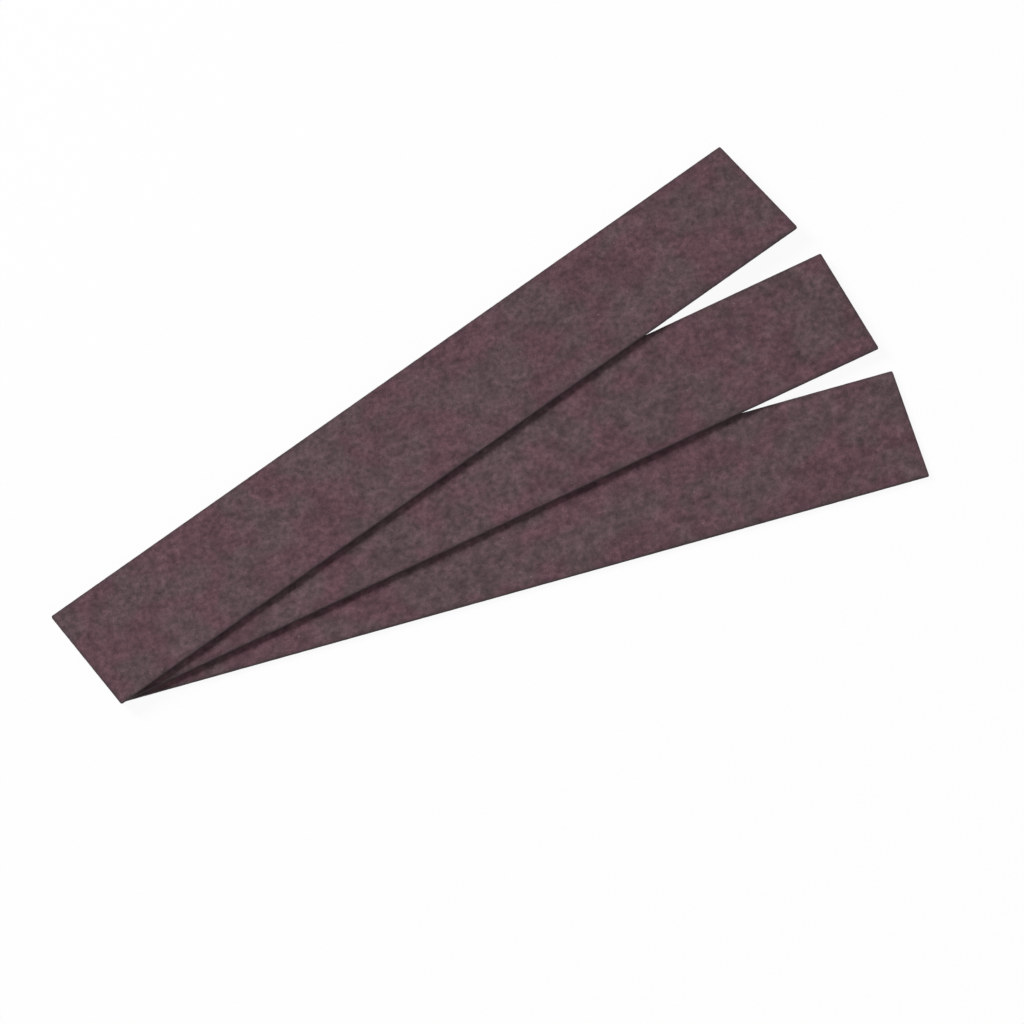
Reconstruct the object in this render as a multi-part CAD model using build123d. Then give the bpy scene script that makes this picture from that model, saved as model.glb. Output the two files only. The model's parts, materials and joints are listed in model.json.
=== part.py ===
"""Three thin double-sided sanding sticks, stacked and fanned out from one corner.

Each stick is a flat laminate. A stiff plastic core carries, on its upper and on its lower
side, a film of adhesive, a sheet of backing paper and a coat of abrasive grit.

Frame: the bottom stick lies along +X with its underside on the plane z = 0, and the origin
is the centre of that underside. The other two sticks are turned about the pinch axis, the
vertical line by the lower left corner where a finger and thumb hold the stack.
"""
from build123d import *
from math import radians, tan
import os

os.makedirs("parts", exist_ok=True)

# ---- driving dimensions, in millimetres and degrees ----
STICK_LENGTH = 127.0       # 5 in, along the middle of the stick
STICK_WIDTH = 19.05        # 3/4 in
END_SKEW = 3.25            # the right end is cut this far out of square, longer at the lower edge
CORNER_RADIUS = 0.25       # cut corners are only just eased

CORE_THICKNESS = 0.20
ADHESIVE_THICKNESS = 0.02
BACKING_THICKNESS = 0.07
GRIT_THICKNESS = 0.06

STICK_GAP = 0.05           # the tallest grains keep two stacked sticks this far apart

# ---- the fan ----
PINCH_FROM_END = 2.4       # pinch axis, measured in from a stick's left end
PINCH_FROM_EDGE = 0.2      # and from its long lower edge
MIDDLE_OPENING = 10.7      # the middle stick is turned this far from the bottom one
TOP_OPENING = 11.35        # and the top stick this far from the middle one

# A stick's layers from its underside to its upper side.
LAYERS = (
    ("lower_grit", GRIT_THICKNESS),
    ("lower_backing", BACKING_THICKNESS),
    ("lower_adhesive", ADHESIVE_THICKNESS),
    ("core", CORE_THICKNESS),
    ("upper_adhesive", ADHESIVE_THICKNESS),
    ("upper_backing", BACKING_THICKNESS),
    ("upper_grit", GRIT_THICKNESS),
)
STICK_THICKNESS = sum(thickness for _, thickness in LAYERS)

# The sticks from the lowest to the highest, each with its angle from the bottom stick.
STICKS = (
    ("bottom_stick", 0.0),
    ("middle_stick", MIDDLE_OPENING),
    ("top_stick", MIDDLE_OPENING + TOP_OPENING),
)

HALF_LENGTH = STICK_LENGTH / 2
HALF_WIDTH = STICK_WIDTH / 2
PINCH_X = PINCH_FROM_END - HALF_LENGTH
PINCH_Y = PINCH_FROM_EDGE - HALF_WIDTH


def outline():
    """The cut shape that all the layers share."""
    lean = HALF_WIDTH * tan(radians(END_SKEW))
    corners = (
        (-HALF_LENGTH, -HALF_WIDTH),
        (HALF_LENGTH + lean, -HALF_WIDTH),
        (HALF_LENGTH - lean, HALF_WIDTH),
        (-HALF_LENGTH, HALF_WIDTH),
    )
    face = make_face(Polyline(*corners, close=True))
    return fillet(face.vertices(), CORNER_RADIUS)


def layer(thickness, height):
    """One layer of a stick, with its underside at the given height."""
    return Pos(0, 0, height) * extrude(outline(), amount=thickness)


def turned(piece, angle):
    """A piece turned about the pinch axis, as the fan is opened."""
    return Pos(PINCH_X, PINCH_Y, 0) * Rot(0, 0, angle) * Pos(-PINCH_X, -PINCH_Y, 0) * piece


for level, (stick, angle) in enumerate(STICKS):
    height = level * (STICK_THICKNESS + STICK_GAP)
    for name, thickness in LAYERS:
        export_step(turned(layer(thickness, height), angle), f"parts/{stick}_{name}.step")
        height += thickness
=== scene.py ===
"""Looks of the three fanned sanding sticks: grit coats with real relief, cut-edge layers, studio."""

import json
from math import cos, radians, sin, tan

import bpy
import numpy as np
from mathutils import Matrix, Vector


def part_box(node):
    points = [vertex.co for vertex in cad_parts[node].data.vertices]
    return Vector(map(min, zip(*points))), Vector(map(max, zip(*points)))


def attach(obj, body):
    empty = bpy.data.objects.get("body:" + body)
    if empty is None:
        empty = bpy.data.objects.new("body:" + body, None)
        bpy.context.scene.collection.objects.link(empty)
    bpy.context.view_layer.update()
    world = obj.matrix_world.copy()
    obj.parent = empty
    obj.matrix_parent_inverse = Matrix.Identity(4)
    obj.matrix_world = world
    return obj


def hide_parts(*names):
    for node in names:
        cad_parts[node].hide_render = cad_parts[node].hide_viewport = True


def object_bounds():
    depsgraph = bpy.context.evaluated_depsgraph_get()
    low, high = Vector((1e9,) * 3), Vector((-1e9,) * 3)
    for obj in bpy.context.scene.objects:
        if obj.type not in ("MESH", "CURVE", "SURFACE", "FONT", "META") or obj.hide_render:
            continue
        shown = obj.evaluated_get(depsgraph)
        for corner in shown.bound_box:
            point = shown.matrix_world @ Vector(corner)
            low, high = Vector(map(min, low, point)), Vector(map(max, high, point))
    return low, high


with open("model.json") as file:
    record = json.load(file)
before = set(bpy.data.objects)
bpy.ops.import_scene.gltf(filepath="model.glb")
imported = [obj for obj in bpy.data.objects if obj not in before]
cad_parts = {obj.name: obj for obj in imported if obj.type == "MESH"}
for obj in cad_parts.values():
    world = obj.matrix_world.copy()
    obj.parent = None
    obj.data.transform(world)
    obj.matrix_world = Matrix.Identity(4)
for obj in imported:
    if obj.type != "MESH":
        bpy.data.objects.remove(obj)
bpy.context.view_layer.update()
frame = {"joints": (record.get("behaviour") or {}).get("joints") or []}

MM = 0.001

# ---- the sticks' cut shape, in millimetres and degrees ----
LENGTH = 127.0
WIDTH = 19.05
END_SKEW = 3.25
CORNER_RADIUS = 0.25

# ---- the meshes, in millimetres and degrees ----
GRID = 0.22             # spacing of a grit coat's mesh
EDGE_STEP = 0.3         # spacing along the cut edge of the other layers
SIDE_LEVELS = {"backing": 3, "adhesive": 3, "core": 6}      # rings of points up such a layer's side
SHARP_ANGLE = 50        # edges that turn more than this stay sharp

# ---- the grit's relief: (wavelength, height), both in millimetres ----
RELIEF = ((0.55, 0.0020), (0.95, 0.0050), (1.7, 0.0080), (3.2, 0.0070))
RELIEF_DEPTH = 0.048    # the deepest hollow lies this far under the tallest grain

# ---- the grit along the cut, in millimetres ----
# the same rim width also sets the painted shade that darkens the coat's colour along the cut
RIM_WIDTH = 0.9         # the shears reach this far in
RIM_DIP = 0.030         # they press the coat down by this much at the cut itself
RIM_RELIEF = 0.4        # the share of the relief that is left there
BROKEN_SIDE = 0.03      # the coat's side is broken in by up to this much

# ---- how far each layer's cut edge wanders in from the outline, in millimetres ----
RAGGED = {"grit": 0.03, "backing": 0.025, "adhesive": 0.04, "core": 0.012}
FILM_BULGE = 0.02       # the adhesive stands out by this much halfway up its side
CORE_DRAG = 0.012       # the shears leave the core's lower edge drawn in by this much

STICKS = ("bottom_stick", "middle_stick", "top_stick")
LAYERS = (
    ("lower_grit", "grit"),
    ("lower_backing", "backing"),
    ("lower_adhesive", "adhesive"),
    ("core", "core"),
    ("upper_adhesive", "adhesive"),
    ("upper_backing", "backing"),
    ("upper_grit", "grit"),
)

HALF_LENGTH = LENGTH / 2
HALF_WIDTH = WIDTH / 2
LEAN = tan(radians(END_SKEW))


# ---------------------------------------------------------------- shape

def ragged_line(count, step, reach, rng):
    """A seeded line of insets from 0 to reach, with wiggles about half a millimetre to 3 mm long."""
    k = np.fft.rfftfreq(count, step)
    line = np.zeros(count)
    for wavelength, share in ((0.6, 0.5), (1.2, 0.7), (3.0, 1.0)):
        gain = np.exp(-((k * wavelength - 1) / 0.4) ** 2 / 2)
        band = np.fft.irfft(np.fft.rfft(rng.standard_normal(count)) * gain, count)
        line += share * band / band.std()
    line -= line.min()
    return line / line.max() * reach


def relief(shape, step, rng):
    """Bumps and hollows of the grit coat on a grid, from 0 at the tallest grain to -RELIEF_DEPTH."""
    ky = np.fft.fftfreq(shape[0], step)[:, None]
    kx = np.fft.rfftfreq(shape[1], step)[None, :]
    k = np.hypot(kx, ky)
    height = np.zeros(shape)
    for wavelength, amount in RELIEF:
        gain = np.exp(-((k * wavelength - 1) / 0.35) ** 2 / 2)
        band = np.fft.irfft2(np.fft.rfft2(rng.standard_normal(shape)) * gain, shape)
        height += amount * band / band.std()
    # the tallest grains are rubbed level and the hollows are filled with resin
    middle = RELIEF_DEPTH / 2
    return middle * (np.tanh(height / middle) - 1)


def cut_shape(u, v):
    """Points inside the outline: u runs from the left end to the skewed right end, v from edge to edge."""
    y = -HALF_WIDTH + WIDTH * v
    right = HALF_LENGTH - y * LEAN
    x = -HALF_LENGTH + (right + HALF_LENGTH) * u
    # each corner's little square is drawn in to a quarter disc
    from_end = np.minimum(x + HALF_LENGTH, right - x)
    from_edge = np.minimum(y + HALF_WIDTH, HALF_WIDTH - y)
    p = np.clip(CORNER_RADIUS - from_end, 0, None)
    q = np.clip(CORNER_RADIUS - from_edge, 0, None)
    draw = np.where((p > 0) & (q > 0), 1 - np.maximum(p, q) / np.maximum(np.hypot(p, q), 1e-9), 0)
    x = x + np.where(x > 0, -1, 1) * p * draw
    y = y + np.where(y > 0, -1, 1) * q * draw
    return x, y


def edge_distance(x, y):
    """How far a point lies in from the nearest cut edge."""
    right = HALF_LENGTH - y * LEAN
    return np.minimum(np.minimum(x + HALF_LENGTH, right - x), HALF_WIDTH - np.abs(y))


def make_piece(name, points, faces, rim, upside_down):
    """A mesh object from points in millimetres. An upside-down piece is mirrored in its own plane z = 0."""
    points = np.array(points, float)
    if upside_down:
        points[:, 2] *= -1
        faces = [tuple(reversed(f)) for f in faces]
    mesh = bpy.data.meshes.new(name)
    mesh.from_pydata((points * MM).tolist(), [], faces)
    mesh.update()
    mesh.shade_smooth()
    mesh.set_sharp_from_angle(angle=radians(SHARP_ANGLE))
    rim_values = mesh.attributes.new("rim", "FLOAT", "POINT")
    rim_values.data.foreach_set("value", np.asarray(rim, np.float32))
    piece = bpy.data.objects.new(name, mesh)
    bpy.context.scene.collection.objects.link(piece)
    return piece


def grit_coat(name, thickness, upside_down, rng):
    """A coat of grit with relief on its open side. Its flat side lies on z = 0."""
    columns = round(LENGTH / GRID)
    rows = round(WIDTH / GRID)
    u, v = np.meshgrid(np.linspace(0, 1, columns + 1), np.linspace(0, 1, rows + 1))
    x, y = cut_shape(u, v)
    rim = np.clip(1 - edge_distance(x, y) / RIM_WIDTH, 0, 1)
    share = 1 - (1 - RIM_RELIEF) * rim ** 2
    height = thickness + relief(x.shape, GRID, rng) * share - RIM_DIP * rim ** 2
    lines = [ragged_line(columns + 1, GRID, RAGGED["grit"], rng) for _ in range(2)]
    ends = [ragged_line(rows + 1, GRID, RAGGED["grit"], rng) for _ in range(2)]
    y *= 1 - np.where(y > 0, lines[0][None, :], lines[1][None, :]) / HALF_WIDTH
    x *= 1 - np.where(x > 0, ends[0][:, None], ends[1][:, None]) / HALF_LENGTH
    points = np.stack([x, y, height], -1).reshape(-1, 3)

    across = columns + 1
    at = np.arange(points.shape[0]).reshape(rows + 1, across)
    quads = np.stack([at[:-1, :-1], at[:-1, 1:], at[1:, 1:], at[1:, :-1]], -1).reshape(-1, 4)
    ring = np.concatenate([at[0, :], at[1:, -1], at[-1, -2::-1], at[-2:0:-1, 0]])
    count = len(ring)
    # the broken side of the coat, halfway down, and its foot on the paper
    waist = points[ring] * (1, 1, 0.5)
    waist[:, :2] *= 1 - rng.uniform(0, BROKEN_SIDE, count)[:, None] / (HALF_LENGTH, HALF_WIDTH)
    foot = points[ring] * (1, 1, 0)
    first = len(points)
    points = np.concatenate([points, waist, foot])
    waist_at = np.arange(first, first + count)
    foot_at = waist_at + count
    faces = [tuple(f) for f in quads.tolist()]
    for upper, lower in ((ring, waist_at), (waist_at, foot_at)):
        sides = np.stack([lower, np.roll(lower, -1), np.roll(upper, -1), upper], -1)
        faces += [tuple(f) for f in sides.tolist()]
    faces.append(tuple(reversed(foot_at.tolist())))
    all_rim = np.concatenate([rim.reshape(-1), np.ones(2 * count)])
    return make_piece(name, points, faces, all_rim, upside_down)


def strip_layer(name, thickness, kind, rng):
    """A plain sheet of the laminate with a sheared, slightly uneven edge. Its underside lies on z = 0."""
    columns = round(LENGTH / EDGE_STEP)
    rows = round(WIDTH / EDGE_STEP)
    along = np.linspace(0, 1, columns + 1)
    up = np.linspace(0, 1, rows + 1)
    u = np.concatenate([along, np.ones(rows), along[-2::-1], np.zeros(rows - 1)])
    v = np.concatenate([np.zeros(columns + 1), up[1:], np.ones(columns), up[-2:0:-1]])
    x, y = cut_shape(u, v)
    count = len(x)
    levels = SIDE_LEVELS[kind]
    swing = ragged_line(count, EDGE_STEP, RAGGED[kind], rng)
    rings = []
    for level in range(levels):
        t = level / (levels - 1)
        inset = swing + rng.uniform(0, 0.4 * RAGGED[kind], count)
        if kind == "adhesive":
            inset += FILM_BULGE * (2 * t - 1) ** 2
        if kind == "core":
            inset += CORE_DRAG * (1 - t) ** 2
        rings.append(np.stack([
            x * (1 - inset / HALF_LENGTH), y * (1 - inset / HALF_WIDTH), np.full(count, t * thickness),
        ], -1))
    points = np.concatenate(rings)
    faces = []
    for level in range(levels - 1):
        lower = np.arange(count) + level * count
        upper = lower + count
        sides = np.stack([lower, np.roll(lower, -1), np.roll(upper, -1), upper], -1)
        faces += [tuple(f) for f in sides.tolist()]
    faces.append(tuple(reversed(range(count))))
    faces.append(tuple(range((levels - 1) * count, levels * count)))
    return make_piece(name, points, faces, np.ones(len(points)), False)


# ---------------------------------------------------------------- materials

def srgb(r, g, b):
    """A colour given in 8-bit display values, as the linear values a shader takes."""
    def one(c):
        c /= 255
        return c / 12.92 if c <= 0.04045 else ((c + 0.055) / 1.055) ** 2.4
    return one(r), one(g), one(b), 1.0


class Nodes:
    """Short ways to add and join the nodes of one material."""

    def __init__(self, name):
        self.material = bpy.data.materials.new(name)
        self.material.use_nodes = True
        self.tree = self.material.node_tree
        self.tree.nodes.clear()
        self.shader = self.add("ShaderNodeBsdfPrincipled")
        output = self.add("ShaderNodeOutputMaterial")
        self.tree.links.new(self.shader.outputs[0], output.inputs["Surface"])

    def add(self, kind, **settings):
        node = self.tree.nodes.new(kind)
        for key, value in settings.items():
            setattr(node, key, value)
        return node

    def put(self, socket, value):
        if isinstance(value, bpy.types.NodeSocket):
            self.tree.links.new(value, socket)
        else:
            socket.default_value = value

    def place(self, shift, scale=(1, 1, 1)):
        """The piece's own coordinates in millimetres, stretched and shifted."""
        coordinates = self.add("ShaderNodeTexCoord").outputs["Object"]
        mapping = self.add("ShaderNodeMapping")
        self.put(mapping.inputs["Vector"], coordinates)
        mapping.inputs["Location"].default_value = shift
        mapping.inputs["Scale"].default_value = [s / MM for s in scale]
        return mapping.outputs["Vector"]

    def noise(self, at, size, detail=2.0, roughness=0.5, distortion=0.0):
        """Cloudy noise with features about size millimetres across, from 0 to 1."""
        node = self.add("ShaderNodeTexNoise")
        self.put(node.inputs["Vector"], at)
        node.inputs["Scale"].default_value = 1 / size
        node.inputs["Detail"].default_value = detail
        node.inputs["Roughness"].default_value = roughness
        node.inputs["Distortion"].default_value = distortion
        return node.outputs["Fac"]

    def cells(self, at, size):
        """Random cells about size millimetres across: (distance from a cell's point, colour)."""
        node = self.add("ShaderNodeTexVoronoi", feature="F1")
        self.put(node.inputs["Vector"], at)
        node.inputs["Scale"].default_value = 1 / size
        return node.outputs["Distance"], node.outputs["Color"]

    def math(self, operation, a, b):
        node = self.add("ShaderNodeMath", operation=operation)
        self.put(node.inputs[0], a)
        self.put(node.inputs[1], b)
        return node.outputs[0]

    def remap(self, value, low, high, to_low=0.0, to_high=1.0, kind="LINEAR"):
        """A value carried from one range to another, and held inside it."""
        node = self.add("ShaderNodeMapRange", interpolation_type=kind)
        for socket, number in zip(node.inputs, (value, low, high, to_low, to_high)):
            self.put(socket, number)
        return node.outputs[0]

    def mix(self, share, a, b, blend="MIX"):
        node = self.add("ShaderNodeMix", data_type="RGBA", blend_type=blend)
        self.put(node.inputs[0], share)
        self.put(node.inputs[6], a)
        self.put(node.inputs[7], b)
        return node.outputs[2]

    def scaled(self, colour, factor):
        """A colour made lighter or darker by a factor."""
        grey = self.add("ShaderNodeCombineColor")
        for socket in grey.inputs[:3]:
            self.put(socket, factor)
        return self.mix(1.0, colour, grey.outputs[0], "MULTIPLY")

    def channel(self, colour, index):
        node = self.add("ShaderNodeSeparateColor")
        self.put(node.inputs[0], colour)
        return node.outputs[index]

    def bump(self, height, strength, distance_mm):
        """Relief too fine for the mesh."""
        node = self.add("ShaderNodeBump")
        node.inputs["Strength"].default_value = strength
        node.inputs["Distance"].default_value = distance_mm * MM
        self.put(node.inputs["Height"], height)
        self.put(self.shader.inputs["Normal"], node.outputs[0])

    def finish(self, colour, roughness, specular):
        self.put(self.shader.inputs["Base Color"], colour)
        self.put(self.shader.inputs["Roughness"], roughness)
        self.put(self.shader.inputs["Specular IOR Level"], specular)
        return self.material


def grit_material(seed):
    """Purple-brown abrasive grains in a matte resin coat."""
    n = Nodes("grit_coat_%d" % seed)
    at = n.place((seed * 41.3, seed * 17.9, 0))
    patches = n.remap(n.noise(at, 9.0, roughness=0.55, distortion=0.3), 0.40, 0.60, kind="SMOOTHSTEP")
    colour = n.mix(patches, srgb(90, 62, 70), srgb(86, 67, 71))
    # tone: slow clouds, clumps of grain, single grains and the dark resin between them
    tone = n.remap(n.noise(at, 2.2, detail=1.0), 0.2, 0.8, 0.70, 1.30)
    clumps = n.remap(n.noise(at, 0.8, detail=1.0), 0.2, 0.8, 0.62, 1.38)
    grains, grain_colour = n.cells(at, 0.11)
    single = n.remap(n.channel(grain_colour, 0), 0.0, 1.0, 0.84, 1.16)
    gaps = n.remap(grains, 0.2, 0.7, 1.29, 0.85)
    for factor in (clumps, single, gaps):
        tone = n.math("MULTIPLY", tone, factor)
    # here and there a clear or a dark grain, of no regular shape
    fine = n.noise(at, 0.16, roughness=0.6)
    speck_distance, speck_colour = n.cells(at, 1.3)
    ragged = n.math("ADD", speck_distance, n.remap(fine, 0.3, 0.7, -0.06, 0.06))
    near = n.remap(ragged, 0.07, 0.12, 1.0, 0.0, kind="SMOOTHSTEP")
    light = n.math("MULTIPLY", near, n.remap(n.channel(speck_colour, 0), 0.91, 0.94))
    dark = n.math("MULTIPLY", near, n.remap(n.channel(speck_colour, 1), 0.86, 0.90))
    colour = n.scaled(colour, tone)
    colour = n.mix(n.math("MULTIPLY", light, 0.5), colour, srgb(136, 120, 126))
    colour = n.mix(n.math("MULTIPLY", dark, 0.45), colour, srgb(52, 40, 44))
    # along the cut the colour goes darker: partly chipped-off grain letting the darker resin show, partly
    # painted shade standing in for the soft edge of the shadow beside a stick's cut
    rim = n.add("ShaderNodeAttribute", attribute_name="rim").outputs["Fac"]
    rim_wear_and_painted_shade = n.math("MULTIPLY", n.math("POWER", rim, 2.0), n.remap(n.noise(at, 0.6), 0.3, 0.7, 0.35, 0.95))
    colour = n.mix(rim_wear_and_painted_shade, colour, srgb(60, 47, 51))
    grain_height = n.math("ADD", n.math("MULTIPLY", fine, 0.6), n.math("SUBTRACT", 0.5, grains))
    n.bump(grain_height, strength=0.8, distance_mm=0.04)
    roughness = n.remap(n.noise(at, 0.5), 0.3, 0.7, 0.72, 0.9)
    return n.finish(colour, roughness, specular=0.25)


def backing_material(seed):
    """Dark resin-soaked paper. At a cut its fibres show as fine streaks along the sheet."""
    n = Nodes("backing_paper_%d" % seed)
    at = n.place((seed * 13.1, seed * 7.7, 0))
    streaks = n.noise(n.place((seed * 13.1, 0, 0), (1, 1, 14)), 0.45, detail=3.0, roughness=0.6)
    colour = n.mix(n.remap(streaks, 0.35, 0.65), srgb(74, 62, 61), srgb(100, 88, 86))
    colour = n.scaled(colour, n.remap(n.noise(at, 2.4), 0.25, 0.75, 0.85, 1.15))
    n.bump(streaks, strength=0.5, distance_mm=0.02)
    return n.finish(colour, n.remap(streaks, 0.3, 0.7, 0.8, 0.95), specular=0.2)


def adhesive_material(seed):
    """Thin dark line of glue, glossier than the paper, with small voids."""
    n = Nodes("adhesive_film_%d" % seed)
    at = n.place((seed * 5.3, seed * 3.1, 0))
    voids = n.remap(n.noise(at, 0.35, roughness=0.6), 0.55, 0.7, kind="SMOOTHSTEP")
    colour = n.mix(voids, srgb(60, 50, 46), srgb(40, 33, 32))
    colour = n.scaled(colour, n.remap(n.noise(at, 3.0, detail=1.0), 0.3, 0.7, 0.88, 1.12))
    n.bump(voids, strength=0.3, distance_mm=0.01)
    return n.finish(colour, n.remap(voids, 0.0, 1.0, 0.28, 0.6), specular=0.45)


def core_material(seed):
    """Dark grey plastic. The shears leave fine upright drag lines along the cut."""
    n = Nodes("core_plastic_%d" % seed)
    at = n.place((seed * 23.7, seed * 11.9, 0))
    drag = n.noise(n.place((seed * 23.7, 0, 0), (1, 1, 0.12)), 0.12, detail=3.0, roughness=0.65)
    clouds = n.noise(at, 1.8)
    colour = n.mix(n.remap(drag, 0.35, 0.65), srgb(66, 58, 61), srgb(80, 71, 75))
    colour = n.scaled(colour, n.remap(clouds, 0.25, 0.75, 0.86, 1.14))
    n.bump(drag, strength=0.4, distance_mm=0.012)
    return n.finish(colour, n.remap(drag, 0.3, 0.7, 0.42, 0.62), specular=0.4)


MATERIALS = {
    "grit": grit_material,
    "backing": backing_material,
    "adhesive": adhesive_material,
    "core": core_material,
}

# ---------------------------------------------------------------- build

pinch = {j["child"]: Vector(j["pos_m"]) for j in frame["joints"]}
closed_at = {j["child"]: j["range_deg"][0] for j in frame["joints"]}

angle = 0.0
for number, stick in enumerate(STICKS):
    # a joint's lower limit closes its stick onto the one below, so it holds the angle between them
    angle -= closed_at.get(stick, 0.0)
    axis = pinch.get(stick, Vector((0, 0, 0)))
    axis = Vector((axis.x, axis.y, 0))
    turn = Matrix.Translation(axis) @ Matrix.Rotation(radians(angle), 4, "Z") @ Matrix.Translation(-axis)
    for place, (layer, kind) in enumerate(LAYERS):
        node = stick + "_" + layer
        low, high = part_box(node)
        thickness = (high.z - low.z) / MM
        seed = 10 * number + place
        rng = np.random.default_rng(seed)
        name = node + "_detail"
        if kind == "grit":
            upside_down = layer.startswith("lower")
            piece = grit_coat(name, thickness, upside_down, rng)
            level = high.z if upside_down else low.z
        else:
            piece = strip_layer(name, thickness, kind, rng)
            level = low.z
        piece.data.transform(Matrix.Translation((0, 0, level)) @ turn)
        piece.data.materials.append(MATERIALS[kind](seed))
        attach(piece, stick)
        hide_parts(node)

# ---------------------------------------------------------------- studio

low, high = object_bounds()
centre = (low + high) / 2

FLOOR_REACH = 30.0
FLOOR_GLOW = 0.93
floor_corners = [(FLOOR_REACH * x, FLOOR_REACH * y, low.z) for x, y in ((-1, -1), (1, -1), (1, 1), (-1, 1))]
floor_mesh = bpy.data.meshes.new("studio_floor")
floor_mesh.from_pydata(floor_corners, [], [(0, 1, 2, 3)])
studio_floor = bpy.data.objects.new("studio_floor", floor_mesh)
bpy.context.scene.collection.objects.link(studio_floor)
floor_nodes = Nodes("studio_floor")
floor_nodes.put(floor_nodes.shader.inputs["Emission Color"], (1, 1, 1, 1))
floor_nodes.put(floor_nodes.shader.inputs["Emission Strength"], FLOOR_GLOW)
floor_mesh.materials.append(floor_nodes.finish((0.06, 0.06, 0.06, 1), 0.9, specular=0.0))
# it is seen as white, but its glow doesn't light the sticks' cut edges from below
studio_floor.visible_diffuse = False
studio_floor.visible_glossy = False


def soft_light(name, azimuth, elevation, width, level, distance=2.6):
    """A round soft light, seen from the sticks as width degrees across.

    Its level is how bright a flat-lying white face is under this light alone.
    """
    data = bpy.data.lights.new(name, "AREA")
    data.shape = "DISK"
    data.size = 2 * distance * tan(radians(width / 2))
    data.energy = level * np.pi ** 2 * distance ** 2 / sin(radians(elevation))
    lamp = bpy.data.objects.new(name, data)
    bpy.context.scene.collection.objects.link(lamp)
    flat = cos(radians(elevation))
    towards = Vector((cos(radians(azimuth)) * flat, sin(radians(azimuth)) * flat, sin(radians(elevation))))
    lamp.location = centre + distance * towards
    lamp.rotation_euler = (-towards).to_track_quat("-Z", "Y").to_euler()


# The key comes from behind the fan, low enough for each stick to shade the one under it.
soft_light("key", azimuth=130.0, elevation=24.0, width=21.0, level=0.63)
soft_light("front_fill", azimuth=-75.0, elevation=24.0, width=40.0, level=0.15)
SKY_LEVEL = 0.255

world = bpy.data.worlds.new("studio")
world.use_nodes = True
world.node_tree.nodes["Background"].inputs["Color"].default_value = (1, 1, 1, 1)
world.node_tree.nodes["Background"].inputs["Strength"].default_value = SKY_LEVEL
bpy.context.scene.world = world

# ---------------------------------------------------------------- camera

CAMERA_AZIMUTH = 2.896
CAMERA_ELEVATION = 61.764
CAMERA_ROLL = -18.192
CAMERA_LENS = 525.0
CAMERA_DISTANCE = 2.27076
CAMERA_TARGET = Vector((0.00149, 0.00399, 0))

a, e, r = radians(CAMERA_AZIMUTH), radians(CAMERA_ELEVATION), radians(CAMERA_ROLL)
back = Vector((sin(a) * cos(e), -cos(a) * cos(e), sin(e)))
level_right = Vector((cos(a), sin(a), 0))
level_up = back.cross(level_right)
right = cos(r) * level_right + sin(r) * level_up
up = cos(r) * level_up - sin(r) * level_right

camera_data = bpy.data.cameras.new("camera")
camera_data.lens = CAMERA_LENS
camera_data.sensor_width = 36.0
camera_data.clip_start = 0.01
camera_data.clip_end = 100.0
camera = bpy.data.objects.new("camera", camera_data)
bpy.context.scene.collection.objects.link(camera)
placed = Matrix((right, up, back)).transposed().to_4x4()
placed.translation = CAMERA_TARGET + CAMERA_DISTANCE * back
camera.matrix_world = placed
bpy.context.scene.camera = camera
bpy.context.scene.view_settings.view_transform = "Standard"
